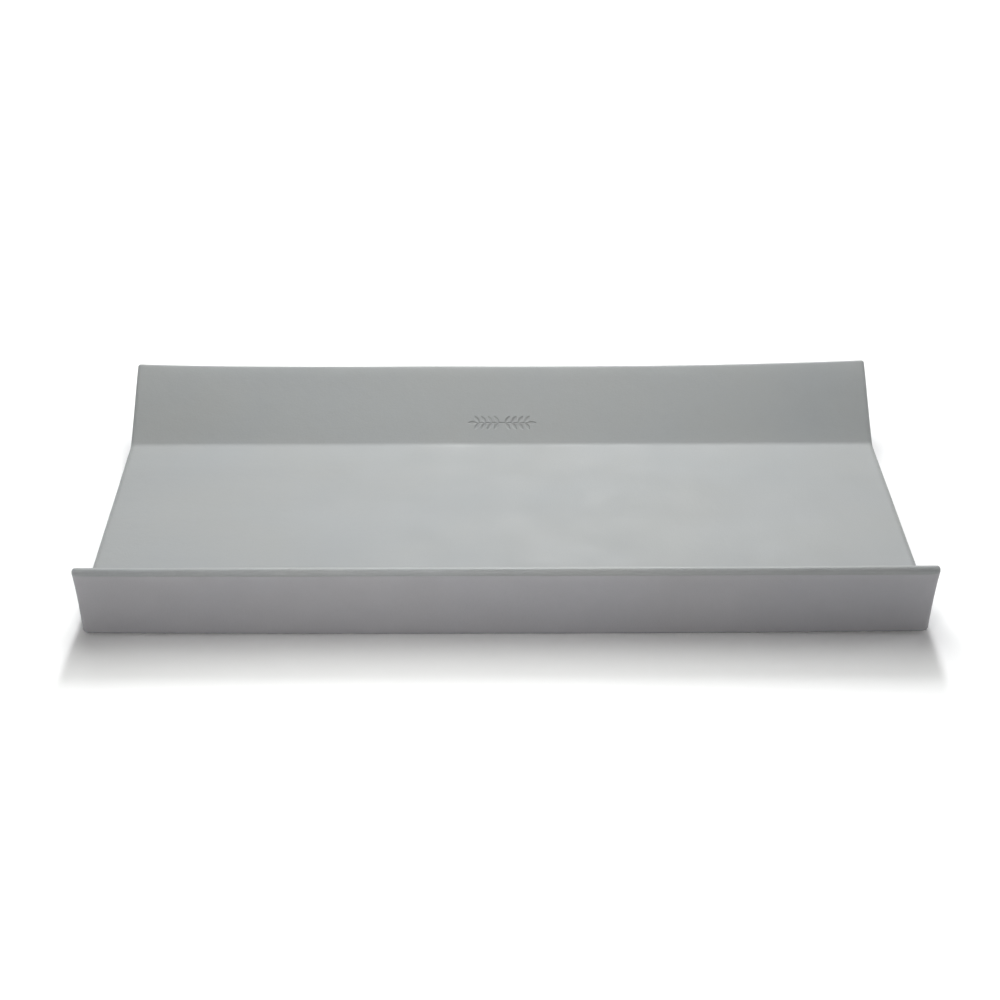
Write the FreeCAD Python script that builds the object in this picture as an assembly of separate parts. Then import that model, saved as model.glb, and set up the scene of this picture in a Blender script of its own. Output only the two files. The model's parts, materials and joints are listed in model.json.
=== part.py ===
import FreeCAD, Part
import math
import os

# Moulded changing pad: a low trough with open ends, a soft foam core inside a dense smooth skin.
# Frame: +X along the pad, +Y towards the far side, +Z up, millimetres.
# The origin is at the bottom centre, on the surface that the pad stands on.

# Overall size.
LENGTH = 750.0
WIDTH = 450.0
RIM_HEIGHT = 75.0          # top of the raised sides
LYING_HEIGHT = 26.0        # top of the flat floor
BASE_HEIGHT = 1.0          # underside of the moulding, held up by the grip pads

# Section across the pad.
SLOPE_ANGLE = 30.3         # inner face of a raised side, from horizontal, degrees
FOLD_RADIUS = 14.0         # concave blend from the floor to a slope
BEAD_RADIUS = 4.0          # rounded bead along the top of a side
CREASE_ANGLE = 50.0        # how far the bead turns under before it meets the outer wall, degrees
WALL_TOP_LEAN = 22.0       # outward lean of the outer wall just under the bead, degrees
WALL_FOOT_LEAN = 6.0       # outward lean of the outer wall at its foot, degrees
BASE_CORNER_RADIUS = 4.0   # round between the outer wall and the underside

# Ends.
END_DRAFT = 2.0            # how much shorter each end is at the ground than at rim height
END_RADIUS = 3.0           # round along the edges of an end face

# Skin.
SKIN = 1.5                 # thickness of the dense skin around the foam
PARTING_DROP = 4.5         # depth of the parting line under the lying side, on the end faces

# Grip pads under the base.
GRIP_RADIUS = 20.0
GRIP_THICKNESS = 2.4
GRIP_CLEARANCE = 0.3       # gap around a pad in its recess
GRIP_SPACING_X = 610.0
GRIP_SPACING_Y = 310.0
GRIP_CHAMFER = 0.6
GRIP_GROOVE_RADII = (6.0, 11.0, 16.0)
GRIP_GROOVE_WIDTH = 1.6
GRIP_GROOVE_DEPTH = 0.6

# Pressed-in leaf sprig on the far slope.
STEM_LENGTH = 53.0
SPRIG_DEPTH = 0.6
SPRIG_UP_SLOPE = 27.5      # from the fold to the sprig's stem, along the slope
STEM_WIDTH = 1.1
LEAF_LENGTH = 9.5
LEAF_WIDTH = 3.4
LEAF_ANGLE = 60.0          # between a leaf and the stem, degrees
LEAF_PAIRS_PER_SIDE = 4

# Extra length of the cutting shapes past the faces that they cut.
MARGIN = 10.0

MM3_PER_CM3 = 1000.0

SLOPE = math.radians(SLOPE_ANGLE)
BEAD_Y = WIDTH / 2 - BEAD_RADIUS
BEAD_Z = RIM_HEIGHT - BEAD_RADIUS
SLOPE_TOP_Y = BEAD_Y - BEAD_RADIUS * math.sin(SLOPE)
SLOPE_TOP_Z = BEAD_Z + BEAD_RADIUS * math.cos(SLOPE)
FOLD_Y = SLOPE_TOP_Y - (SLOPE_TOP_Z - LYING_HEIGHT) / math.tan(SLOPE)
CREASE_Y = BEAD_Y + BEAD_RADIUS * math.cos(math.radians(CREASE_ANGLE))
CREASE_Z = BEAD_Z - BEAD_RADIUS * math.sin(math.radians(CREASE_ANGLE))
GRIP_RECESS_DEPTH = GRIP_THICKNESS - BASE_HEIGHT


def point(y, z):
    return FreeCAD.Vector(0, y, z)


def arc(start, middle, end):
    return Part.Arc(point(*start), point(*middle), point(*end)).toShape()


def line(start, end):
    return Part.makeLine(point(*start), point(*end))


def on_circle(centre, radius, degrees):
    """A point on a circle in the section, by its angle above the +Y direction."""
    angle = math.radians(degrees)
    return centre[0] + radius * math.cos(angle), centre[1] + radius * math.sin(angle)


def fold_edge():
    """The concave arc between the floor and the far slope, from the floor end."""
    centre = (FOLD_Y - FOLD_RADIUS * math.tan(SLOPE / 2), LYING_HEIGHT + FOLD_RADIUS)
    angles = (-90.0, -90.0 + SLOPE_ANGLE / 2, -90.0 + SLOPE_ANGLE)
    return [on_circle(centre, FOLD_RADIUS, angle) for angle in angles]


def bead_edge():
    """The convex arc over the far rim, from the slope to the crease above the outer wall."""
    centre = (BEAD_Y, BEAD_Z)
    start = 90.0 + SLOPE_ANGLE
    angles = (start, (start - CREASE_ANGLE) / 2, -CREASE_ANGLE)
    return [on_circle(centre, BEAD_RADIUS, angle) for angle in angles]


def wall_centre_and_radius():
    """The outer wall is one hollow arc: its lean grows from the foot to the crease."""
    top = math.radians(WALL_TOP_LEAN)
    foot = math.radians(WALL_FOOT_LEAN)
    height = CREASE_Z - BASE_HEIGHT
    radius = height / (math.sin(top) - math.sin(foot))
    centre = (CREASE_Y + radius * math.cos(top), CREASE_Z - radius * math.sin(top))
    return centre, radius


def wall_edge():
    """The hollow arc of the far outer wall, from the crease to the underside."""
    centre, radius = wall_centre_and_radius()
    leans = (WALL_TOP_LEAN, (WALL_TOP_LEAN + WALL_FOOT_LEAN) / 2, WALL_FOOT_LEAN)
    return [on_circle(centre, radius, 180.0 - lean) for lean in leans]


def mirrored(points):
    """The same points on the near side, in the opposite order."""
    return [(-y, z) for y, z in reversed(points)]


def section_wire():
    """The closed outline across the pad, with square corners at the foot of the walls."""
    fold, bead, wall = fold_edge(), bead_edge(), wall_edge()
    near_fold, near_bead, near_wall = mirrored(fold), mirrored(bead), mirrored(wall)
    edges = [
        line(near_fold[2], fold[0]),
        arc(*fold),
        line(fold[2], bead[0]),
        arc(*bead),
        arc(*wall),
        line(wall[2], near_wall[0]),
        arc(*near_wall),
        arc(*near_bead),
        line(near_bead[2], near_fold[0]),
        arc(*near_fold),
    ]
    return Part.Wire(edges)


def end_trimmer(inset):
    """A long block whose two end faces lean in towards the ground, moved in by the inset."""
    lean = math.atan2(END_DRAFT, RIM_HEIGHT)
    top_z = RIM_HEIGHT + MARGIN
    bottom_z = -MARGIN

    def half_length(z):
        return LENGTH / 2 - (RIM_HEIGHT - z) * math.tan(lean) - inset / math.cos(lean)

    corners = [
        (-half_length(bottom_z), bottom_z),
        (half_length(bottom_z), bottom_z),
        (half_length(top_z), top_z),
        (-half_length(top_z), top_z),
    ]
    points = [FreeCAD.Vector(x, -WIDTH, z) for x, z in corners]
    outline = Part.makePolygon(points + points[:1])
    return Part.Face(outline).extrude(FreeCAD.Vector(0, 2 * WIDTH, 0))


def is_base_corner(edge):
    """True for the two long edges where a wall meets the underside."""
    box = edge.BoundBox
    return box.XLength > LENGTH / 2 and box.ZMax < LYING_HEIGHT / 2


def is_end_edge(edge, inset):
    """True for the edges around an end face."""
    box = edge.BoundBox
    near_end = LENGTH / 2 - inset - END_DRAFT - END_RADIUS
    return box.XLength < END_DRAFT + END_RADIUS and abs(box.Center.x) > near_end


def moulding(inset):
    """The whole pad as one body, with every face moved in by the inset."""
    outline = section_wire()
    if inset > 0:
        outline = outline.makeOffset2D(-inset)
    bar = Part.Face(outline).extrude(FreeCAD.Vector(LENGTH + 2 * MARGIN, 0, 0))
    bar.translate(FreeCAD.Vector(-LENGTH / 2 - MARGIN, 0, 0))
    corners = [edge for edge in bar.Edges if is_base_corner(edge)]
    bar = bar.makeFillet(BASE_CORNER_RADIUS - inset, corners)
    body = bar.common(end_trimmer(inset))
    ends = [edge for edge in body.Edges if is_end_edge(edge, inset)]
    return body.makeFillet(END_RADIUS - inset, ends)


def grip_centres():
    """Name and centre of each grip pad; the front is the near side, towards -Y."""
    centres = {}
    for row, y in (("front", -GRIP_SPACING_Y / 2), ("rear", GRIP_SPACING_Y / 2)):
        for side, x in (("left", -GRIP_SPACING_X / 2), ("right", GRIP_SPACING_X / 2)):
            centres[f"grip_pad_{row}_{side}"] = (x, y)
    return centres


def grip_recesses(inset):
    """The shallow round pockets in the underside, grown by the inset so that the skin lines them."""
    radius = GRIP_RADIUS + GRIP_CLEARANCE + inset
    height = MARGIN + BASE_HEIGHT + GRIP_RECESS_DEPTH + inset
    tools = []
    for x, y in grip_centres().values():
        tools.append(Part.makeCylinder(radius, height, FreeCAD.Vector(x, y, -MARGIN)))
    return tools


def above_parting():
    """Everything on the lying side of the parting line, as one long bar."""
    sunk = PARTING_DROP / math.cos(SLOPE)
    floor_z = LYING_HEIGHT - PARTING_DROP
    shoulder_y = FOLD_Y + (CREASE_Z - LYING_HEIGHT + sunk) / math.tan(SLOPE)
    fold_y = FOLD_Y + (floor_z - LYING_HEIGHT + sunk) / math.tan(SLOPE)
    right = [
        (fold_y, floor_z),
        (shoulder_y, CREASE_Z),
        (WIDTH / 2 + MARGIN, CREASE_Z),
        (WIDTH / 2 + MARGIN, RIM_HEIGHT + MARGIN),
    ]
    corners = [point(y, z) for y, z in right + mirrored(right)]
    bar = Part.Face(Part.makePolygon(corners + corners[:1]))
    bar = bar.extrude(FreeCAD.Vector(LENGTH + 2 * MARGIN, 0, 0))
    bar.translate(FreeCAD.Vector(-LENGTH / 2 - MARGIN, 0, 0))
    return bar


def leaf(x, degrees):
    """One pointed leaf in the flat sprig plane: two arcs from its root at (x, 0)."""
    angle = math.radians(degrees)
    along = FreeCAD.Vector(math.cos(angle), math.sin(angle), 0)
    across = FreeCAD.Vector(-along.y, along.x, 0)
    root = FreeCAD.Vector(x, 0, 0)
    tip = root + along * LEAF_LENGTH
    belly = root + along * (LEAF_LENGTH / 2)
    edges = [
        Part.Arc(root, belly + across * (LEAF_WIDTH / 2), tip).toShape(),
        Part.Arc(tip, belly - across * (LEAF_WIDTH / 2), root).toShape(),
    ]
    return Part.Face(Part.Wire(edges))


def sprig_cutter():
    """The pressed-in sprig: a thin stem with leaves in pairs, pointing away from the middle."""
    half = STEM_LENGTH / 2
    faces = [Part.makePlane(STEM_LENGTH, STEM_WIDTH, FreeCAD.Vector(-half, -STEM_WIDTH / 2, 0))]
    pitch = half / LEAF_PAIRS_PER_SIDE
    for pair in range(LEAF_PAIRS_PER_SIDE):
        x = pitch * (pair + 0.5)
        for turn in (LEAF_ANGLE, -LEAF_ANGLE):
            faces.append(leaf(x, turn))
            faces.append(leaf(-x, 180.0 - turn))
    faces.append(leaf(half - STEM_WIDTH, 0.0))
    faces.append(leaf(STEM_WIDTH - half, 180.0))
    solids = [face.extrude(FreeCAD.Vector(0, 0, SPRIG_DEPTH + MARGIN)) for face in faces]
    cutter = solids[0].fuse(solids[1:]).removeSplitter()
    cutter.translate(FreeCAD.Vector(0, SPRIG_UP_SLOPE, -SPRIG_DEPTH))
    cutter.rotate(FreeCAD.Vector(0, 0, 0), FreeCAD.Vector(1, 0, 0), SLOPE_ANGLE)
    cutter.translate(point(FOLD_Y, LYING_HEIGHT))
    return cutter


def grip_pad(x, y):
    """A rubber disc with a chamfered lower edge and concentric grooves in its underside."""
    disc = Part.makeCylinder(GRIP_RADIUS, GRIP_THICKNESS)
    lower_rim = [edge for edge in disc.Edges if edge.BoundBox.ZMax < GRIP_THICKNESS / 2]
    disc = disc.makeChamfer(GRIP_CHAMFER, lower_rim)
    for radius in GRIP_GROOVE_RADII:
        outer = Part.makeCylinder(radius + GRIP_GROOVE_WIDTH / 2, GRIP_GROOVE_DEPTH)
        inner = Part.makeCylinder(radius - GRIP_GROOVE_WIDTH / 2, GRIP_GROOVE_DEPTH)
        disc = disc.cut(outer.cut(inner))
    disc.translate(FreeCAD.Vector(x, y, 0))
    return disc


def single_solid(shape):
    """The one solid in a shape; stops if there are more or none."""
    if len(shape.Solids) != 1:
        raise RuntimeError(f"expected one solid, found {len(shape.Solids)}")
    return shape.Solids[0]


def build():
    """Every piece of the pad by its node name."""
    outside = moulding(0.0).cut(grip_recesses(0.0))
    core = moulding(SKIN).cut(grip_recesses(SKIN))
    shell = outside.cut(core)
    lying_side = above_parting()
    pieces = {
        "foam_core": core,
        "upper_skin": shell.common(lying_side).cut(sprig_cutter()),
        "lower_skin": shell.cut(lying_side),
    }
    for name, (x, y) in grip_centres().items():
        pieces[name] = grip_pad(x, y)
    return {name: single_solid(shape) for name, shape in pieces.items()}


os.makedirs("parts", exist_ok=True)
for node, solid in build().items():
    solid.exportStep(f"parts/{node}.step")
    print(f"{node}: {solid.Volume / MM3_PER_CM3:.2f} cm3, valid {solid.isValid()}")
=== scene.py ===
import json
import math

import bmesh
import bpy
import numpy as np
from mathutils import Matrix, Vector


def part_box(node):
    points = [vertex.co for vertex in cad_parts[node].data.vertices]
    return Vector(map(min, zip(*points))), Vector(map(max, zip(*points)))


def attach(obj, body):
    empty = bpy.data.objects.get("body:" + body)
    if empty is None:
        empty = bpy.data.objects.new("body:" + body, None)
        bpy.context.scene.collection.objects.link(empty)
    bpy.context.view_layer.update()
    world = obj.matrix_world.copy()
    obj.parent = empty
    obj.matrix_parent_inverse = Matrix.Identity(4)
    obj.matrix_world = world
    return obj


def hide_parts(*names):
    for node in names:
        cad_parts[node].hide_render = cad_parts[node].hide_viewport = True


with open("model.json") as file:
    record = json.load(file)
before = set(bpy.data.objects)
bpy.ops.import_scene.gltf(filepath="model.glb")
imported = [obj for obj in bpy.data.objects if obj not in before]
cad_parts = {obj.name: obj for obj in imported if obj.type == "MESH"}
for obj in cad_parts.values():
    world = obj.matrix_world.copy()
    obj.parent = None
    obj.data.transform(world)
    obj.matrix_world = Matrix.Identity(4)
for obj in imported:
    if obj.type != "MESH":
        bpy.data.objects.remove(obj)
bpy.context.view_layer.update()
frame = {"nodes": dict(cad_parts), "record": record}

# The pad in metres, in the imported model's frame: +X along it, +Y to the far side, +Z up.
# Driving dimensions, the same as in the CAD source.
LENGTH = 0.750
WIDTH = 0.450
RIM_HEIGHT = 0.075
LYING_HEIGHT = frame["record"]["mounts"][0]["pos_m"][2]
BASE_HEIGHT = 0.001
SLOPE_ANGLE = 30.3
FOLD_RADIUS = 0.014
BEAD_RADIUS = 0.004
CREASE_ANGLE = 50.0
WALL_TOP_LEAN = 22.0
WALL_FOOT_LEAN = 6.0
BASE_CORNER_RADIUS = 0.004
END_DRAFT = 0.002
END_RADIUS = 0.003
FOOT_END_RADIUS = 0.005        # the end round grows to this at the foot
SKIN = 0.0015                  # thickness of both skins
PARTING_DROP = 0.0045          # the parting line below the lying side, on the end faces

# Pressed-in leaf sprig on the far slope.
STEM_LENGTH = 0.053
SPRIG_DEPTH = 0.0006
SPRIG_SOFT = (-0.0002, 0.0004)  # distances inside its outline where the pressing starts and is full
SPRIG_UP_SLOPE = 0.0275
STEM_WIDTH = 0.0011
LEAF_LENGTH = 0.0095
LEAF_WIDTH = 0.0034
LEAF_ANGLE = 60.0
LEAF_PAIRS_PER_SIDE = 4

# Grip pads and their recesses.
GRIP_NODES = [name for name in frame["nodes"] if name.startswith("grip_pad")]
GRIP_X = max(sum(corner.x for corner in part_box(node)) / 2 for node in GRIP_NODES)
GRIP_Y = max(sum(corner.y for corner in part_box(node)) / 2 for node in GRIP_NODES)
GRIP_RADIUS = 0.020
GRIP_THICKNESS = 0.0024
GRIP_CLEARANCE = 0.0003
GRIP_ROUND = 0.0005
GRIP_GROOVE_RADII = (0.006, 0.011, 0.016)
GRIP_GROOVE_WIDTH = 0.0016
GRIP_GROOVE_DEPTH = 0.0006
GRIP_SEGMENTS = 96
RECESS_ROUND = 0.0004
FOAM_GAP = 0.00005             # between the foam and the skins around it

# Mesh density.
FLOOR_CELL = 0.009
SLOPE_CELL = 0.004
SPRIG_CELL = 0.00045
SPRIG_BAND = 0.010             # half width of the fine mesh around the sprig's stem
LONG_CELL = 0.008
CELL_GROWTH = 1.22
BEAD_CELLS = 14
FOLD_CELLS = 10
ROUND_CELLS = 6
WALL_CELLS = 16
PATCH_HALF = 0.030             # half side of the square patch around a recess
PATCH_CELLS = 12
RECESS_CELLS = 3
RECESS_FLOOR_SHARES = (1.0, 0.6, 0.25)  # radii of the rings on a recess's floor
GRIP_ROUND_CELLS = 4
SHARP_ANGLE = 35.0             # faces that meet at more than this keep a hard line, degrees

# Unevenness of the moulding. The rims rise towards both ends, by a power of the distance from the middle.
WAVE_HEIGHT = 0.00022
FAR_RISE = 0.0010              # the whole far rim
LEFT_RISE = 0.0028             # the far rim at its left end
LEFT_RISE_POWER = 4.5
RIGHT_RISE = 0.0064            # the far rim at its right end
RIGHT_RISE_POWER = 2.7
NEAR_RISE_SHARE = 0.10         # how much of that the near rim has
FOOT_RISE = 0.0024             # the foot of a wall at its ends
FOOT_RISE_POWER = 6.0
FOOT_START = 0.185             # distance across from the middle where it starts
SAG = 0.0008                   # the middle of the underside, between the grip pads
SAG_REACH = GRIP_X - GRIP_RADIUS
WAVE_PARTS = (                 # share, turns along x, y and z in radians per metre, and where it starts
    (0.40, (21.0, 9.0, 0.0), 1.3),
    (0.30, (37.0, -26.0, 40.0), 0.4),
    (0.30, (13.0, 55.0, 0.0), 2.1),
)

# Looks. Colours are linear; noise scales are in features per metre, reliefs in metres.
UPPER_COLOURS = ((0.263, 0.275, 0.279, 1.0), (0.268, 0.276, 0.273, 1.0))
# The outside skin is the same skin as the lying side, painted a little darker and bluer here as shade on its
# walls.
LOWER_SHADED_COLOURS = ((0.232, 0.231, 0.244, 1.0), (0.235, 0.232, 0.241, 1.0))
FOAM_COLOURS = ((0.62, 0.61, 0.57, 1.0), (0.70, 0.69, 0.65, 1.0))
RUBBER_COLOURS = ((0.030, 0.030, 0.032, 1.0), (0.065, 0.063, 0.060, 1.0))
CLOUD_SCALE = 9.0
FLOW_SCALE = 16.0
FLOW_STRETCH = (0.12, 1.0, 1.0)
PATCH_SCALE = 24.0
GRAIN_SCALE = 1500.0
FINE_SCALE = 1100.0
DIMPLE_SCALE = 620.0
DIMPLE_RELIEF = 0.00006
FINE_RELIEF = 0.00007
PATCH_RELIEF = 0.0006
FLOW_SPREAD = (0.985, 1.015)    # how much each pattern darkens and lightens the skin
PATCH_SPREAD = (0.980, 1.020)
GRAIN_SPREAD = (0.975, 1.025)
SKIN_ROUGHNESS = (0.50, 0.60)
RUBBED_LIGHTER = 0.06
RUBBED_SMOOTHER = 0.08
FOAM_CELL_SCALE = 900.0
FOAM_HOLE_SCALE = 260.0
DUST_SCALE = 160.0
TOOTH_SCALE = 2600.0
RIM_SHADE = 0.74               # painted shade: how dark the outer face of the rim beads is painted against the rest
PAINTED_SHADE_FACING = (0.25, 0.75)     # upward facing from which that painted shade fades, and where it has gone
RIM_EDGE = 0.010               # how far the rubbed edges reach in from the rim beads
END_EDGE = 0.008               # and from the ends

# Studio: camera, pale floor, sky and lights.
CAMERA_PLACE = (-0.0251, -1.9852, 1.0099)
CAMERA_PITCH = 26.242          # down from level, degrees
CAMERA_YAW = -0.621            # degrees
CAMERA_ROLL = 0.152            # degrees
CAMERA_LENS = 83.3             # millimetres
CAMERA_REACH = 100.0
FLOOR_RINGS = (1.0, 3.0, 7.0, 14.0)  # radii of the floor's mesh
FLOOR_SEGMENTS = 96
FLOOR_TONE = 0.97
FLOOR_FADE = (0.55, 1.20)      # distances from the middle where the glow starts and where it is full
FLOOR_GLOW = 1.0
SKY_BAND = (0.17, 0.30)        # heights, as the sine of the angle, between which the sky goes dark
SKY_LEVELS = (1.0, 0.0)        # strength below and above that band
SKY_COLOUR = (1.0, 0.99, 1.0, 1.0)
# Lights by name: place, width and height, watts and colour.
# The top ones point straight down, the others at the pad.
LIGHTS = {
    "key": ((0.35, 5.66, 5.66), (1.0, 3.8), 427.0, (0.98, 0.99, 1.00)),
    "rear_left": ((-0.95, 1.75, 2.0), (1.2, 1.2), 7.2, (1.00, 1.00, 1.00)),
    "rear_right": ((0.80, 1.75, 2.0), (1.2, 1.2), 6.5, (1.00, 1.00, 1.00)),
    "right": ((2.2, 0.0, 1.6), (1.4, 1.4), 7.0, (0.98, 0.98, 1.00)),
    "low_left": ((-1.0, -0.5, 0.5), (0.5, 0.5), 0.7, (1.00, 1.00, 1.00)),
    "low_right": ((1.0, -0.5, 0.5), (0.5, 0.5), 0.3, (1.00, 0.99, 1.00)),
    "low_front": ((-0.10, -0.80, 0.25), (0.30, 0.30), 1.9, (1.00, 0.99, 0.97)),
    "top": ((-0.06, 0.0, 1.20), (0.9, 0.9), 6.6, (0.99, 1.00, 0.98)),
    "top_rear": ((-0.06, 0.55, 1.20), (0.7, 0.7), 4.2, (0.98, 1.00, 0.98)),
}

SLOPE = math.radians(SLOPE_ANGLE)
BEAD_Y = WIDTH / 2 - BEAD_RADIUS
BEAD_Z = RIM_HEIGHT - BEAD_RADIUS
SLOPE_TOP = (BEAD_Y - BEAD_RADIUS * math.sin(SLOPE), BEAD_Z + BEAD_RADIUS * math.cos(SLOPE))
FOLD_Y = SLOPE_TOP[0] - (SLOPE_TOP[1] - LYING_HEIGHT) / math.tan(SLOPE)
FOLD_START_Y = FOLD_Y - FOLD_RADIUS * math.tan(SLOPE / 2)
CREASE_Y = BEAD_Y + BEAD_RADIUS * math.cos(math.radians(CREASE_ANGLE))
CREASE_Z = BEAD_Z - BEAD_RADIUS * math.sin(math.radians(CREASE_ANGLE))
GRIP_RECESS_DEPTH = GRIP_THICKNESS - BASE_HEIGHT
HALF = LENGTH / 2


def smooth(value, start, end):
    """0 at start, 1 at end, eased in between."""
    share = np.clip((value - start) / (end - start), 0.0, 1.0)
    return share * share * (3.0 - 2.0 * share)


# ---------------------------------------------------------------- the section across the pad
# A path is an array with a row for each point: y, z, the outward direction there, and the share of the
# end draft.

def straight(start, end, shares):
    """Points at the given shares of a straight run. Outward is to the left of the way it runs."""
    start, end = np.array(start), np.array(end)
    along = (end - start) / np.linalg.norm(end - start)
    points = start + np.outer(shares, end - start)
    outward = np.tile([-along[1], along[0]], (len(shares), 1))
    return np.hstack([points, outward, np.zeros((len(shares), 1))])


def bend(centre, radius, first, last, cells):
    """Points along an arc between two angles in degrees: clockwise round the outside, else along a hollow."""
    angles = np.radians(np.linspace(first, last, cells + 1))
    ray = np.column_stack([np.cos(angles), np.sin(angles)])
    outward = ray if last < first else -ray
    return np.hstack([np.array(centre) + radius * ray, outward, np.zeros((cells + 1, 1))])


def joined(*runs):
    """Runs that start where the one before ends, as one path."""
    return np.vstack([runs[0]] + [run[1:] for run in runs[1:]])


def mitre(path, row):
    """Points the outward direction at the crease half way between the bead's and the wall's."""
    middle = math.radians((CREASE_ANGLE + WALL_TOP_LEAN) / 2)
    stretch = 1.0 / math.cos(math.radians((CREASE_ANGLE - WALL_TOP_LEAN) / 2))
    path[row, 2:4] = stretch * math.cos(middle), -stretch * math.sin(middle)
    return path


def even(length, cell):
    """Shares from 0 to 1 in equal steps of about the cell size."""
    return np.linspace(0.0, 1.0, max(2, round(length / cell)) + 1)


def slope_shares(length, has_sprig):
    """Shares along a slope, from the fold's end to the bead, with fine steps around the sprig."""
    if not has_sprig:
        return even(length, SLOPE_CELL)
    first = SPRIG_UP_SLOPE - SPRIG_BAND - (FOLD_Y - FOLD_START_Y)
    last = first + 2 * SPRIG_BAND
    below = even(first, SLOPE_CELL) * first
    fine = first + even(last - first, SPRIG_CELL) * (last - first)
    above = last + even(length - last, SLOPE_CELL) * (length - last)
    return np.concatenate([below, fine[1:], above[1:]]) / length


def lying_half(has_sprig):
    """The lying side from the middle of the floor to the crease."""
    fold_centre = (FOLD_START_Y, LYING_HEIGHT + FOLD_RADIUS)
    fold = bend(fold_centre, FOLD_RADIUS, -90.0, -90.0 + SLOPE_ANGLE, FOLD_CELLS)
    start = fold[-1, :2]
    length = math.dist(start, SLOPE_TOP)
    bead = bend((BEAD_Y, BEAD_Z), BEAD_RADIUS, 90.0 + SLOPE_ANGLE, -CREASE_ANGLE, BEAD_CELLS)
    return joined(
        straight((0.0, LYING_HEIGHT), (FOLD_START_Y, LYING_HEIGHT), even(FOLD_START_Y, FLOOR_CELL)),
        fold,
        straight(start, SLOPE_TOP, slope_shares(length, has_sprig)),
        mitre(bead, -1),
    )


def wall_and_corner():
    """The hollow outer wall down from the crease, and the round at its foot."""
    top, foot = math.radians(WALL_TOP_LEAN), math.radians(WALL_FOOT_LEAN)
    radius = (CREASE_Z - BASE_HEIGHT) / (math.sin(top) - math.sin(foot))
    centre = (CREASE_Y + radius * math.cos(top), CREASE_Z - radius * math.sin(top))
    corner_z = BASE_HEIGHT + BASE_CORNER_RADIUS
    lean = math.asin((corner_z - centre[1]) / (radius + BASE_CORNER_RADIUS))
    corner_y = centre[0] - (radius + BASE_CORNER_RADIUS) * math.cos(lean)
    wall = bend(centre, radius, 180.0 - WALL_TOP_LEAN, 180.0 - math.degrees(lean), WALL_CELLS)
    corner = bend((corner_y, corner_z), BASE_CORNER_RADIUS, -math.degrees(lean), -90.0, ROUND_CELLS)
    return joined(mitre(wall, 0), corner)


def patch_shares(start, end, centre):
    """Distances from start to end with an even square patch of cells around the centre."""
    low, high = centre - PATCH_HALF, centre + PATCH_HALF
    runs = [(start, low, LONG_CELL), (low, high, 2 * PATCH_HALF / PATCH_CELLS), (high, end, LONG_CELL)]
    spots = [a + even(b - a, cell) * (b - a) for a, b, cell in runs]
    return np.concatenate([spots[0], spots[1][1:], spots[2][1:]])


def outside_half():
    """The outside from the crease, down the wall and in to the middle of the base."""
    sides = wall_and_corner()
    foot_y = sides[-1, 0]
    spots = patch_shares(0.0, foot_y, GRIP_Y)[::-1]
    base = straight((foot_y, BASE_HEIGHT), (0.0, BASE_HEIGHT), 1.0 - spots / foot_y)
    path = joined(sides, base)
    path[:, 4] = (CREASE_Z - path[:, 1]) / (CREASE_Z - BASE_HEIGHT)
    return path


def mirrored(path):
    """The same path on the near side, run the other way."""
    flipped = path[::-1].copy()
    flipped[:, 0] *= -1.0
    flipped[:, 2] *= -1.0
    return flipped


def parting_half(half):
    """The parting line on an end face, one point for each point of the lying half."""
    path = half.copy()
    path[:, :2] -= PARTING_DROP * path[:, 2:4]
    bead = slice(len(path) - BEAD_CELLS - 1, len(path))
    crease = half[-1, :2] - END_RADIUS * half[-1, 2:4]
    shares = np.linspace(0.0, 1.0, BEAD_CELLS + 1)[:, None]
    path[bead, :2] = (1.0 - shares) * path[bead.start, :2] + shares * crease
    return path


def run_lengths(path):
    """How far along the path each point is."""
    steps = np.hypot(np.diff(path[:, 0]), np.diff(path[:, 1]))
    return np.concatenate([[0.0], np.cumsum(steps)])


def parting_under(outside, parting):
    """The parting line from the crease to the middle, one point for each point of the outside half."""
    line = parting[::-1]
    line_runs = run_lengths(line)
    fold = len(line) - 1 - np.argmin(np.abs(parting[:, 0] - FOLD_START_Y))
    foot = WALL_CELLS + ROUND_CELLS
    own_runs = run_lengths(outside)
    marks = (0.0, own_runs[foot], own_runs[-1])
    target = np.interp(own_runs, marks, (0.0, line_runs[fold], line_runs[-1]))
    path = np.zeros_like(outside)
    path[:, 0] = np.interp(target, line_runs, line[:, 0])
    path[:, 1] = np.interp(target, line_runs, line[:, 1])
    return path


# ---------------------------------------------------------------- sections along the pad

def grown(start, end, first, largest):
    """Distances from start to end whose steps grow from the first size up to the largest."""
    steps = [first]
    while sum(steps) < end - start:
        steps.append(min(steps[-1] * CELL_GROWTH, largest))
    return start + np.concatenate([[0.0], np.cumsum(steps)]) * (end - start) / sum(steps)


def both_ways(spots):
    """Distances from the middle, as places on both sides of it."""
    return np.concatenate([-spots[:0:-1], spots])


def lying_spots():
    """Where the lying side has its sections, fine over the sprig."""
    reach = STEM_LENGTH / 2 + LEAF_LENGTH
    fine = even(reach, SPRIG_CELL) * reach
    coarse = grown(reach, HALF - FOOT_END_RADIUS, SPRIG_CELL, LONG_CELL)
    return both_ways(np.concatenate([fine, coarse[1:]]))


def outside_spots():
    """Where the outside has its sections, with even patches over the grip recesses."""
    return both_ways(patch_shares(0.0, HALF - FOOT_END_RADIUS, GRIP_X))


def sections(path, spots, inset):
    """Points of every section from the left end to the right one, with both ends rounded over."""
    radius = END_RADIUS + (FOOT_END_RADIUS - END_RADIUS) * path[:, 4]
    ends = []
    for turn in np.linspace(0.0, math.pi / 2, ROUND_CELLS + 1)[1:]:
        x = HALF - radius + (radius - inset) * math.sin(turn)
        ends.append((x, inset + (radius - inset) * (1.0 - math.cos(turn))))
    places = [(-x, depth) for x, depth in reversed(ends)] + [(x, inset) for x in spots] + ends
    return np.array([placed(path, x, depth) for x, depth in places])


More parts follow.
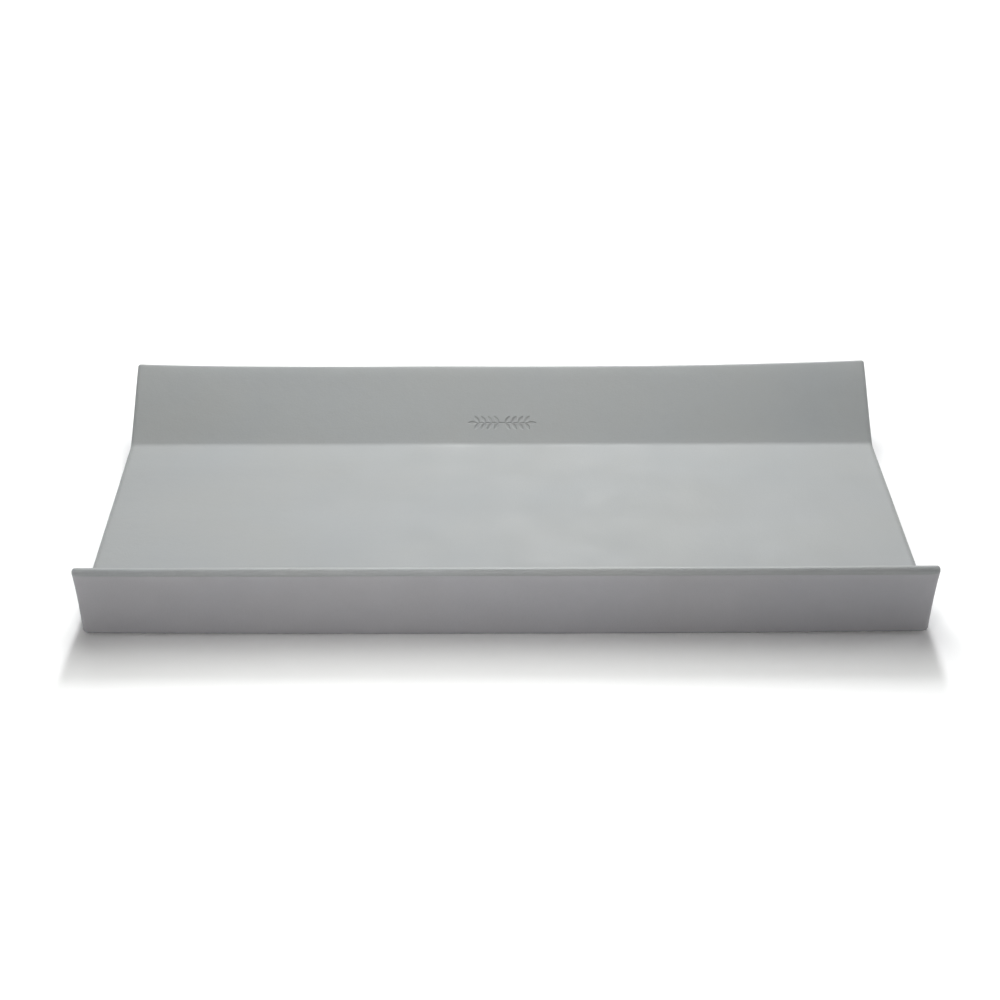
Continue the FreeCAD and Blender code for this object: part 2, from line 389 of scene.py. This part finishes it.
def placed(path, x, inset):
    """The path in the section at x, moved in by the inset, with the ends drawn in by the draft."""
    points = np.zeros((len(path), 3))
    draft = END_DRAFT * path[:, 4] * smooth(np.abs(x), HALF - PATCH_HALF, HALF - END_RADIUS)
    points[:, 0] = x - np.sign(x) * draft
    points[:, 1] = path[:, 0] - inset * path[:, 2]
    points[:, 2] = path[:, 1] - inset * path[:, 3]
    return points


# ---------------------------------------------------------------- small shapes on the surfaces

def leaf_distance(x, t, root, degrees):
    """How far points are outside one pointed leaf, negative inside it."""
    angle = math.radians(degrees)
    along = (x - root) * math.cos(angle) + t * math.sin(angle) - LEAF_LENGTH / 2
    across = np.abs(t * math.cos(angle) - (x - root) * math.sin(angle))
    belly = LEAF_WIDTH / 2
    radius = ((LEAF_LENGTH / 2) ** 2 + belly ** 2) / (2 * belly)
    return np.hypot(along, across + radius - belly) - radius


def sprig_distance(x, t):
    """How far points are outside the whole sprig."""
    half = STEM_LENGTH / 2
    nearest = np.maximum(np.abs(x) - half, np.abs(t) - STEM_WIDTH / 2)
    pitch = half / LEAF_PAIRS_PER_SIDE
    leaves = [(half - STEM_WIDTH, 0.0)]
    for pair in range(LEAF_PAIRS_PER_SIDE):
        leaves += [(pitch * (pair + 0.5), LEAF_ANGLE), (pitch * (pair + 0.5), -LEAF_ANGLE)]
    for root, degrees in leaves:
        nearest = np.minimum(nearest, leaf_distance(np.abs(x), t, root, degrees))
    return nearest


def press_sprig(points, outward):
    """Moves the points of the lying side in where the sprig is pressed into the far slope."""
    up = (points[..., 1] - FOLD_Y) * math.cos(SLOPE) + (points[..., 2] - LYING_HEIGHT) * math.sin(SLOPE)
    away = sprig_distance(points[..., 0], up - SPRIG_UP_SLOPE)
    depth = SPRIG_DEPTH * smooth(-away, *SPRIG_SOFT) * (points[..., 1] > FOLD_Y)
    return points - depth[..., None] * outward


def waves(points):
    """A very slight unevenness of the moulding, between -1 and 1."""
    x, y, z = points[..., 0], points[..., 1], points[..., 2]
    return sum(share * np.sin(a * x + b * y + c * z + start) for share, (a, b, c), start in WAVE_PARTS)


def bent(points):
    """The whole body, a little bent: rims and feet rise to the ends, the middle sags between the grips."""
    x, y, z = points[..., 0], points[..., 1], points[..., 2]
    reach = np.clip(np.abs(x) / HALF, 0.0, 1.0)
    left = LEFT_RISE * reach ** LEFT_RISE_POWER
    right = RIGHT_RISE * reach ** RIGHT_RISE_POWER
    rise = np.where(x < 0, left, right)
    rise = np.where(y > 0, FAR_RISE + rise, NEAR_RISE_SHARE * rise)
    foot = FOOT_RISE * reach ** FOOT_RISE_POWER * smooth(np.abs(y), FOOT_START, WIDTH / 2)
    sag = SAG * np.clip(1.0 - (x / SAG_REACH) ** 2, 0.0, 1.0)
    moved = points.copy()
    moved[..., 2] += rise * smooth(z, LYING_HEIGHT, RIM_HEIGHT)
    moved[..., 2] += (foot - sag) * (1.0 - smooth(z, 0.0, LYING_HEIGHT))
    return moved


def settle(points, outward):
    """An outer surface: slightly uneven, then bent with the whole body."""
    keep_base = smooth(points[..., 2], 2 * BASE_HEIGHT, LYING_HEIGHT)
    return bent(points + (WAVE_HEIGHT * waves(points) * keep_base)[..., None] * outward)


def inner_shape(points, outward):
    """A hidden inner surface, which has no unevenness of its own."""
    return bent(points)


# ---------------------------------------------------------------- mesh building

class Builder:
    """Collects points and faces; a face is dropped if its points run together."""

    def __init__(self):
        self.points = []
        self.faces = []

    def add(self, points):
        """Adds an array of points and returns their numbers in the same layout."""
        flat = np.asarray(points).reshape(-1, 3)
        first = len(self.points)
        self.points.extend(map(tuple, flat))
        return np.arange(first, first + len(flat)).reshape(np.asarray(points).shape[:-1])

    def strip(self, one, other):
        """Faces between two rows of points."""
        for a, b, c, d in zip(one[:-1], one[1:], other[1:], other[:-1]):
            corners = list(dict.fromkeys((int(a), int(b), int(c), int(d))))
            if len(corners) > 2:
                self.faces.append(corners)

    def grid(self, rows, holes=()):
        """Faces over a layout of rows, apart from the holes (first and last row, first and last column)."""
        cells = np.stack([rows[:-1, :-1], rows[:-1, 1:], rows[1:, 1:], rows[1:, :-1]], axis=-1)
        keep = np.ones(cells.shape[:2], bool)
        for top, bottom, left, right in holes:
            keep[top:bottom, left:right] = False
        self.faces.extend(cells[keep].tolist())

    def ring(self, one, other):
        """Faces between two closed rows."""
        self.strip(np.append(one, one[0]), np.append(other, other[0]))

    def fan(self, row, centre):
        """Triangles from a closed row to one point."""
        for a, b in zip(row, np.append(row[1:], row[0])):
            self.faces.append([int(a), int(b), int(centre)])

    def make(self, name, material):
        """The finished object, with every face turned outwards."""
        mesh = bpy.data.meshes.new(name)
        mesh.from_pydata(self.points, [], self.faces)
        work = bmesh.new()
        work.from_mesh(mesh)
        loose = [point for point in work.verts if not point.link_faces]
        bmesh.ops.delete(work, geom=loose, context="VERTS")
        bmesh.ops.recalc_face_normals(work, faces=work.faces)
        work.to_mesh(mesh)
        work.free()
        mesh.polygons.foreach_set("use_smooth", [True] * len(mesh.polygons))
        mesh.set_sharp_from_angle(angle=math.radians(SHARP_ANGLE))
        mark_edges(mesh)
        mesh.materials.append(material)
        piece = bpy.data.objects.new(name, mesh)
        bpy.context.scene.collection.objects.link(piece)
        return piece


def values_of(mesh, key):
    """Three numbers for each point of a mesh, its place or its normal."""
    values = np.zeros(len(mesh.vertices) * 3)
    mesh.vertices.foreach_get(key, values)
    return values.reshape(-1, 3)


def store(mesh, name, values):
    """Stores a number for each point, for the materials."""
    layer = mesh.attributes.new(name, "FLOAT", "POINT")
    layer.data.foreach_set("value", values.astype(np.float32))


def mark_edges(mesh):
    """Stores how near each point is to a rim or an end, and, as a mask for painted shade, how far it is round
    the outside of a rim.
    """
    points, normals = values_of(mesh, "co"), values_of(mesh, "normal")
    rim = np.hypot(np.abs(points[:, 1]) - BEAD_Y, points[:, 2] - BEAD_Z) - BEAD_RADIUS
    end = HALF - np.abs(points[:, 0])
    near_rim = 1.0 - smooth(rim, 0.0, RIM_EDGE)
    near_end = 1.0 - smooth(end, 0.0, END_EDGE)
    store(mesh, "edge", np.maximum(near_rim, near_end))
    outside = (np.abs(points[:, 1]) > BEAD_Y) * (np.abs(points[:, 2]) > CREASE_Z - BEAD_RADIUS)
    before_end = smooth(end, 0.0, END_RADIUS)
    # painted shade mask: the outside of a rim where it faces down, fading out towards the ends
    store(mesh, "painted_rim_shade", outside * before_end * (1.0 - smooth(normals[:, 2], *PAINTED_SHADE_FACING)))


def shell_side(build, path, parting, spots, inset, shape, holes=()):
    """One face of a skin: sections and two end strips. Returns its grid and the borders that close it."""
    points = sections(path, spots, inset)
    points = shape(points, np.broadcast_to(outward_of(path), points.shape))
    grid = build.add(points)
    build.grid(grid, [hole[:4] for hole in holes])
    borders = []
    for row, sign in ((grid[0], -1.0), (grid[-1], 1.0)):
        line = placed(parting, sign * (HALF - inset), 0.0)
        line = build.add(shape(line, np.zeros_like(line)))
        line[0], line[-1] = row[0], row[-1]
        build.strip(row, line)
        borders.append(line)
    return grid, borders


def outward_of(path):
    """The outward directions of a path as unit vectors in space."""
    size = np.hypot(path[:, 2], path[:, 3])
    return np.column_stack([np.zeros(len(path)), path[:, 2] / size, path[:, 3] / size])


def close_skin(build, outer, inner):
    """Joins the outer and inner faces of a skin along its parting line."""
    for column in (0, -1):
        build.strip(outer[0][:, column], inner[0][:, column])
    for line, under in zip(outer[1], inner[1]):
        build.strip(line, under)


def lying_shape(points, outward):
    """Everything that shapes the outer face of the lying side."""
    return settle(press_sprig(points, outward), outward)


def lying_skin(material):
    """The skin of the lying side: floor, slopes and rim beads, down to the parting line."""
    far, near = lying_half(True), lying_half(False)
    path = joined(mirrored(near), far)
    parting = joined(mirrored(parting_half(near)), parting_half(far))
    build = Builder()
    spots = lying_spots()
    outer = shell_side(build, path, parting, spots, 0.0, lying_shape)
    inner = shell_side(build, path, parting, spots, SKIN, inner_shape)
    close_skin(build, outer, inner)
    return build.make("skin_lying_side", material)


def recess_holes(spots, path):
    """The patches of the base grid that the four grip recesses take up."""
    rows = np.concatenate([np.full(ROUND_CELLS, -HALF), spots, np.full(ROUND_CELLS, HALF)])
    columns = path[:, 0]
    holes = []
    for x in (-GRIP_X, GRIP_X):
        top = int(np.argmin(np.abs(rows - (x - PATCH_HALF))))
        for y in (-GRIP_Y, GRIP_Y):
            on_base = np.where(path[:, 1] < BASE_HEIGHT + 1e-9)[0]
            left = on_base[np.argmin(np.abs(columns[on_base] - (y + PATCH_HALF)))]
            right = on_base[np.argmin(np.abs(columns[on_base] - (y - PATCH_HALF)))]
            left, right = sorted((int(left), int(right)))
            holes.append((top, top + PATCH_CELLS, left, right, x, y))
    return holes


def square_loop(grid, hole):
    """The points around a hole in the grid, in order."""
    top, bottom, left, right = hole[:4]
    return np.concatenate([
        grid[top, left:right],
        grid[top:bottom, right],
        grid[bottom, right:left:-1],
        grid[bottom:top:-1, left],
    ])


def recess(build, grid, hole, inset):
    """A round recess that fills a hole in the base, with a rounded mouth."""
    x, y = hole[4:]
    loop = square_loop(grid, hole)
    start = np.array(build.points[loop[0]])
    second = np.array(build.points[loop[1]])
    first = math.atan2(start[1] - y, start[0] - x)
    turned = (start[0] - x) * (second[1] - start[1]) - (start[1] - y) * (second[0] - start[0])
    way = math.copysign(1.0, turned)
    angles = first + way * np.arange(len(loop)) * 2 * math.pi / len(loop)
    radius = GRIP_RADIUS + GRIP_CLEARANCE + inset
    floor = BASE_HEIGHT + inset
    steps = []
    for turn in np.linspace(0.0, math.pi / 2, RECESS_CELLS + 1):
        ring_radius = radius + RECESS_ROUND * (1 - math.sin(turn))
        steps.append((ring_radius, floor + RECESS_ROUND * (1 - math.cos(turn))))
    steps += [(radius * share, floor + GRIP_RECESS_DEPTH) for share in RECESS_FLOOR_SHARES]
    last = loop
    for ring_radius, z in steps:
        circle = np.column_stack([
            x + ring_radius * np.cos(angles), y + ring_radius * np.sin(angles), np.full(len(angles), z)])
        current = build.add(circle)
        build.ring(last, current)
        last = current
    build.fan(last, build.add(np.array([[x, y, floor + GRIP_RECESS_DEPTH]]))[0])


def outside_skin(material):
    """The skin of the outside: walls, ends and base, up to the parting line."""
    half = outside_half()
    path = joined(half, mirrored(half))
    parting = parting_half(lying_half(False))
    under = parting_under(half, parting)
    line = joined(under, mirrored(under))
    build = Builder()
    spots = outside_spots()
    holes = recess_holes(spots, path)
    outer = shell_side(build, path, line, spots, 0.0, settle, holes)
    inner = shell_side(build, path, line, spots, SKIN, inner_shape, holes)
    for hole in holes:
        recess(build, outer[0], hole, 0.0)
        recess(build, inner[0], hole, SKIN)
    close_skin(build, outer, inner)
    return build.make("skin_outside", material)


def foam_core(material):
    """The soft filling: one closed body just inside the skins."""
    half = outside_half()
    outside = joined(half, mirrored(half))
    count = len(outside)
    lying = joined(mirrored(lying_half(False)), lying_half(False))
    lying = evened(lying, outside[::-1])
    build = Builder()
    spots = outside_spots()
    holes = recess_holes(spots, outside)
    lower = build.add(bent(sections(outside, spots, SKIN + FOAM_GAP)))
    upper = build.add(bent(sections(lying, spots, SKIN + FOAM_GAP)))
    upper = upper[:, ::-1]
    upper[:, 0], upper[:, count - 1] = lower[:, 0], lower[:, count - 1]
    build.grid(lower, [hole[:4] for hole in holes])
    build.grid(upper)
    for hole in holes:
        recess(build, lower, hole, SKIN + FOAM_GAP)
    for end in (0, -1):
        build.strip(lower[end], upper[end])
    return build.make("foam_filling", material)


def evened(path, other):
    """The path with as many points as the other one, shared out at the same rate along it."""
    own = run_lengths(path) / run_lengths(path)[-1]
    wanted = run_lengths(other) / run_lengths(other)[-1]
    return np.column_stack([np.interp(wanted, own, path[:, column]) for column in range(path.shape[1])])


# ---------------------------------------------------------------- grip pads

def grip_profile():
    """Radius and height along a grip pad's surface, from the middle underneath to the middle on top."""
    outline = [(0.0, 0.0)]
    soft = GRIP_GROOVE_WIDTH / 4
    for radius in GRIP_GROOVE_RADII:
        low, high = radius - GRIP_GROOVE_WIDTH / 2, radius + GRIP_GROOVE_WIDTH / 2
        outline += [(low - soft, 0.0), (low, soft / 2), (low + soft / 2, GRIP_GROOVE_DEPTH)]
        outline += [(high - soft / 2, GRIP_GROOVE_DEPTH), (high, soft / 2), (high + soft, 0.0)]
    for first, z in ((-90.0, GRIP_ROUND), (0.0, GRIP_THICKNESS - GRIP_ROUND)):
        for degrees in np.linspace(first, first + 90.0, GRIP_ROUND_CELLS + 1):
            angle = math.radians(degrees)
            radius = GRIP_RADIUS - GRIP_ROUND + GRIP_ROUND * math.cos(angle)
            outline.append((radius, z + GRIP_ROUND * math.sin(angle)))
    outline.append((0.0, GRIP_THICKNESS))
    return outline


def grip_pad(node, material):
    """One round rubber pad where the CAD has it."""
    low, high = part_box(node)
    x, y = (low.x + high.x) / 2, (low.y + high.y) / 2
    angles = np.linspace(0.0, 2 * math.pi, GRIP_SEGMENTS, endpoint=False)
    build = Builder()
    profile = grip_profile()
    rings = []
    for radius, z in profile[1:-1]:
        circle = [x + radius * np.cos(angles), y + radius * np.sin(angles), np.full(len(angles), z)]
        rings.append(build.add(np.column_stack(circle)))
    for one, other in zip(rings[:-1], rings[1:]):
        build.ring(one, other)
    build.fan(rings[0], build.add(np.array([[x, y, profile[0][1]]]))[0])
    build.fan(rings[-1], build.add(np.array([[x, y, profile[-1][1]]]))[0])
    return build.make(node.replace("pad", "rubber"), material)


# ---------------------------------------------------------------- materials

class Shader:
    """A material's nodes, with short calls to add and join them."""

    def __init__(self, name):
        self.material = bpy.data.materials.new(name)
        self.material.use_nodes = True
        self.tree = self.material.node_tree
        self.surface = self.tree.nodes["Principled BSDF"]
        self.place = self.add("ShaderNodeTexCoord").outputs["Object"]

    def add(self, kind, inputs=(), **settings):
        """Adds a node with its settings and inputs."""
        node = self.tree.nodes.new(kind)
        for key, value in settings.items():
            setattr(node, key, value)
        for key, value in dict(inputs).items():
            self.put(node.inputs[key], value)
        return node

    def put(self, socket, value):
        """Joins an output to the socket, or sets its value."""
        if isinstance(value, bpy.types.NodeSocket):
            self.tree.links.new(value, socket)
        else:
            socket.default_value = value

    def noise(self, scale, detail=3.0, stretch=(1.0, 1.0, 1.0), shift=0.0, roughness=0.5):
        """Noise between about 0.3 and 0.7; the scale is in features per metre."""
        mapping = {"Vector": self.place, "Scale": stretch, "Location": (shift,) * 3}
        moved = self.add("ShaderNodeMapping", mapping)
        inputs = {"Vector": moved.outputs[0], "Scale": scale, "Detail": detail, "Roughness": roughness}
        return self.add("ShaderNodeTexNoise", inputs).outputs[0]

    def cells(self, scale, **settings):
        """Distance to the nearest of many scattered points; the scale is in points per metre."""
        inputs = {"Vector": self.place, "Scale": scale}
        return self.add("ShaderNodeTexVoronoi", inputs, **settings).outputs["Distance"]

    def spread(self, value, low, high, from_low=0.3, from_high=0.7):
        """The value moved from its own range to another one."""
        inputs = {"Value": value, "From Min": from_low, "From Max": from_high}
        inputs.update({"To Min": low, "To Max": high})
        return self.add("ShaderNodeMapRange", inputs).outputs[0]

    def math(self, operation, one, other):
        """A sum, product or the like of two values."""
        return self.add("ShaderNodeMath", {0: one, 1: other}, operation=operation).outputs[0]

    def mix(self, factor, one, other):
        """A colour between two colours."""
        inputs = {"Factor": factor, 6: one, 7: other}
        return self.add("ShaderNodeMix", inputs, data_type="RGBA").outputs[2]

    def scaled(self, colour, value):
        """A colour times a number."""
        return self.add("ShaderNodeVectorMath", {0: colour, "Scale": value}, operation="SCALE").outputs[0]

    def bump(self, height, depth, normal=None):
        """Relief of the given depth in metres."""
        inputs = {"Height": height, "Distance": depth, "Strength": 1.0}
        if normal is not None:
            inputs["Normal"] = normal
        return self.add("ShaderNodeBump", inputs).outputs[0]

    def finish(self, **inputs):
        """Sets the surface's inputs, with _ for a space, and returns the material."""
        for key, value in inputs.items():
            self.put(self.surface.inputs[key.replace("_", " ")], value)
        return self.material


def skin_material(name, colours, shift, rim_shade=1.0):
    """Matte moulded foam skin: fine grain, faint clouding, flow bands along the mould, rubbed edges and, with
    rim_shade below 1, painted shade on the outer face of the rim beads.
    """
    shader = Shader(name)
    cloud = shader.noise(CLOUD_SCALE, detail=4.0, shift=shift)
    flow = shader.noise(FLOW_SCALE, detail=2.0, stretch=FLOW_STRETCH, shift=shift + 3.0)
    patch = shader.noise(PATCH_SCALE, detail=5.0, shift=shift + 7.0, roughness=0.6)
    grain = shader.noise(GRAIN_SCALE, detail=2.0, shift=shift)
    edge = shader.add("ShaderNodeAttribute", attribute_name="edge").outputs["Fac"]
    painted_rim_shade = shader.add("ShaderNodeAttribute", attribute_name="painted_rim_shade").outputs["Fac"]
    tint = shader.mix(shader.spread(cloud, 0.0, 1.0), *colours)
    shade = shader.spread(flow, *FLOW_SPREAD)
    shade = shader.math("MULTIPLY", shade, shader.spread(patch, *PATCH_SPREAD))
    shade = shader.math("MULTIPLY", shade, shader.spread(grain, *GRAIN_SPREAD))
    worn = shader.math("MULTIPLY", edge, shader.spread(patch, 0.0, RUBBED_LIGHTER))
    shade = shader.math("ADD", shade, worn)
    # painted shade on the outer face of the rim beads
    shade = shader.math("MULTIPLY", shade, shader.spread(painted_rim_shade, 1.0, rim_shade, 0.0, 1.0))
    rough = shader.spread(patch, *SKIN_ROUGHNESS)
    rough = shader.math("SUBTRACT", rough, shader.math("MULTIPLY", edge, RUBBED_SMOOTHER))
    fine = shader.noise(FINE_SCALE, detail=3.0, shift=shift + 1.0)
    relief = shader.bump(shader.cells(DIMPLE_SCALE, feature="SMOOTH_F1"), DIMPLE_RELIEF)
    relief = shader.bump(fine, FINE_RELIEF, relief)
    relief = shader.bump(patch, PATCH_RELIEF, relief)
    return shader.finish(
        Base_Color=shader.scaled(tint, shade), Roughness=rough, Normal=relief,
        Specular_IOR_Level=0.35, Sheen_Weight=0.03, Sheen_Roughness=0.45)


def foam_material():
    """Open-celled foam: pale, with cells of two sizes."""
    shader = Shader("foam")
    cells = shader.cells(FOAM_CELL_SCALE)
    large = shader.cells(FOAM_HOLE_SCALE)
    cloud = shader.noise(30.0, detail=4.0)
    colour = shader.mix(shader.spread(cloud, 0.0, 1.0), *FOAM_COLOURS)
    shade = shader.spread(cells, 0.80, 1.0, 0.0, 0.5)
    relief = shader.bump(large, 0.0006, shader.bump(cells, 0.0004))
    return shader.finish(
        Base_Color=shader.scaled(colour, shade), Roughness=0.9, Normal=relief, Specular_IOR_Level=0.2)


def rubber_material():
    """Dark grip rubber: fine tooth and a little dust."""
    shader = Shader("grip_rubber")
    dust = shader.noise(DUST_SCALE, detail=5.0, roughness=0.65)
    grain = shader.noise(TOOTH_SCALE, detail=2.0)
    colour = shader.mix(shader.spread(dust, 0.0, 1.0), *RUBBER_COLOURS)
    shade = shader.spread(grain, 0.85, 1.15)
    rough = shader.spread(dust, 0.55, 0.78)
    relief = shader.bump(grain, 0.00008)
    return shader.finish(
        Base_Color=shader.scaled(colour, shade), Roughness=rough, Normal=relief, Specular_IOR_Level=0.4)


# ---------------------------------------------------------------- studio

def camera():
    """The camera in front of the pad, looking down at it."""
    data = bpy.data.cameras.new("camera")
    data.lens = CAMERA_LENS
    data.clip_end = CAMERA_REACH
    holder = bpy.data.objects.new("camera", data)
    turn = Matrix.Rotation(math.radians(CAMERA_YAW), 4, "Z")
    tilt = Matrix.Rotation(math.radians(90.0 - CAMERA_PITCH), 4, "X")
    roll = Matrix.Rotation(math.radians(CAMERA_ROLL), 4, "Z")
    holder.matrix_world = Matrix.Translation(CAMERA_PLACE) @ turn @ tilt @ roll
    bpy.context.scene.collection.objects.link(holder)
    bpy.context.scene.camera = holder


def softbox(name, place, aim, size, power, colour):
    """An oval soft light, with its width and height, that the camera doesn't see."""
    data = bpy.data.lights.new(name, "AREA")
    data.shape = "ELLIPSE"
    data.size, data.size_y = size
    data.energy = power
    data.color = colour
    holder = bpy.data.objects.new(name, data)
    direction = Vector(aim) - Vector(place)
    turn = direction.to_track_quat("-Z", "Y").to_matrix().to_4x4()
    holder.matrix_world = Matrix.Translation(place) @ turn
    holder.visible_camera = False
    bpy.context.scene.collection.objects.link(holder)


def studio_floor():
    """A plain pale floor. It glows softly away from the pad and runs into the surround with no edge."""
    shader = Shader("studio_floor")
    tone = shader.spread(shader.noise(3.0, detail=2.0), 0.985, 1.0)
    distance = shader.add("ShaderNodeVectorMath", {0: shader.place}, operation="LENGTH").outputs["Value"]
    fade = {"Value": distance, "From Min": FLOOR_FADE[0], "From Max": FLOOR_FADE[1]}
    far = shader.add("ShaderNodeMapRange", fade, interpolation_type="SMOOTHSTEP").outputs[0]
    shader.finish(
        Base_Color=shader.scaled((FLOOR_TONE,) * 3, tone), Roughness=0.9, Specular_IOR_Level=0.1,
        Emission_Color=(1.0, 1.0, 1.0, 1.0), Emission_Strength=shader.math("MULTIPLY", far, FLOOR_GLOW))
    build = Builder()
    angles = np.linspace(0.0, 2 * math.pi, FLOOR_SEGMENTS, endpoint=False)
    rings = []
    for radius in FLOOR_RINGS:
        circle = np.column_stack([radius * np.cos(angles), radius * np.sin(angles), np.zeros(len(angles))])
        rings.append(build.add(circle))
    for one, other in zip(rings[:-1], rings[1:]):
        build.ring(one, other)
    build.fan(rings[0], build.add(np.zeros((1, 3)))[0])
    build.make("studio_floor", shader.material)


def sky():
    """White light from low all round and none from above."""
    world = bpy.data.worlds.new("studio")
    world.use_nodes = True
    tree = world.node_tree
    place = tree.nodes.new("ShaderNodeTexCoord")
    split = tree.nodes.new("ShaderNodeSeparateXYZ")
    ramp = tree.nodes.new("ShaderNodeMapRange")
    ramp.interpolation_type = "SMOOTHSTEP"
    tree.links.new(place.outputs["Generated"], split.inputs[0])
    tree.links.new(split.outputs["Z"], ramp.inputs["Value"])
    for key, value in zip(("From Min", "From Max", "To Min", "To Max"), SKY_BAND + SKY_LEVELS):
        ramp.inputs[key].default_value = value
    background = tree.nodes["Background"]
    background.inputs["Color"].default_value = SKY_COLOUR
    tree.links.new(ramp.outputs[0], background.inputs["Strength"])
    bpy.context.scene.world = world


def studio():
    """Floor, lights, sky and plain colour handling."""
    studio_floor()
    sky()
    for name, (place, size, power, colour) in LIGHTS.items():
        aim = (place[0], place[1], 0.0) if name.startswith("top") else (0.0, 0.0, 0.0)
        softbox(name, place, aim, size, power, colour)
    settings = bpy.context.scene.view_settings
    settings.view_transform = "Standard"
    settings.look = "None"


# ---------------------------------------------------------------- assembly

def add_piece(piece, node):
    """Puts a finished piece in the place of a CAD node."""
    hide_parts(node)
    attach(piece, "root")


camera()
studio()
upper_material = skin_material("skin_upper", UPPER_COLOURS, 0.0, RIM_SHADE)
lower_material = skin_material("skin_lower_painted_shade", LOWER_SHADED_COLOURS, 5.0)
add_piece(lying_skin(upper_material), "upper_skin")
add_piece(outside_skin(lower_material), "lower_skin")
add_piece(foam_core(foam_material()), "foam_core")
grip_rubber = rubber_material()
for grip_node in GRIP_NODES:
    add_piece(grip_pad(grip_node, grip_rubber), grip_node)
